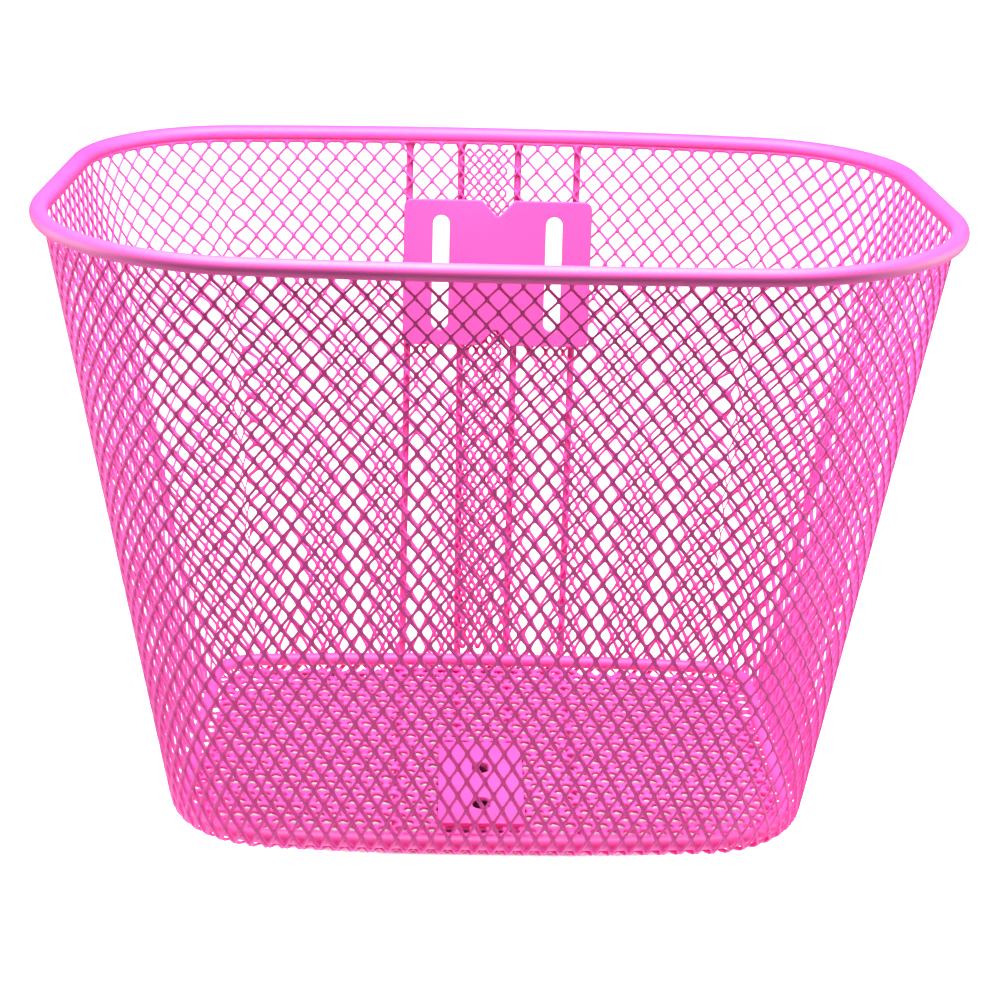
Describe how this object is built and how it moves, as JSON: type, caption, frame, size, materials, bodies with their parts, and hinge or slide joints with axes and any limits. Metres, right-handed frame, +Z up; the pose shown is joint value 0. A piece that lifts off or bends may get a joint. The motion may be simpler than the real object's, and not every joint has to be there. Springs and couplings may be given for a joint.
{
  "type": "handlebar basket",
  "caption": "Pink powder-coated wire-mesh bicycle basket with a round rim, bowed front, slotted back plate and a bolt plate on its floor.",
  "frame": {"origin": "under the middle of the basket's box, on the surface that it stands on", "axes": "+X across the basket, +Y towards the bicycle (the back with the slotted plate), -Y the bowed front, +Z up"},
  "size_m": [0.3502, 0.2326, 0.2448],
  "materials": {
    "coated_rod": "gloss powder coat",
    "coated_wire": "gloss powder coat",
    "coated_mesh": "gloss powder coat",
    "coated_plate": "satin powder coat"
  },
  "bodies": {
    "root": {"rim_rod": "coated_rod", "base_hoop": "coated_rod", "back_strut_outer_left": "coated_wire", "back_strut_inner_left": "coated_wire", "back_strut_inner_right": "coated_wire", "back_strut_outer_right": "coated_wire", "wall_mesh": "coated_mesh", "floor_mesh": "coated_mesh", "upper_mount_plate": "coated_plate", "lower_mount_plate": "coated_plate"}
  },
  "joints": []
}
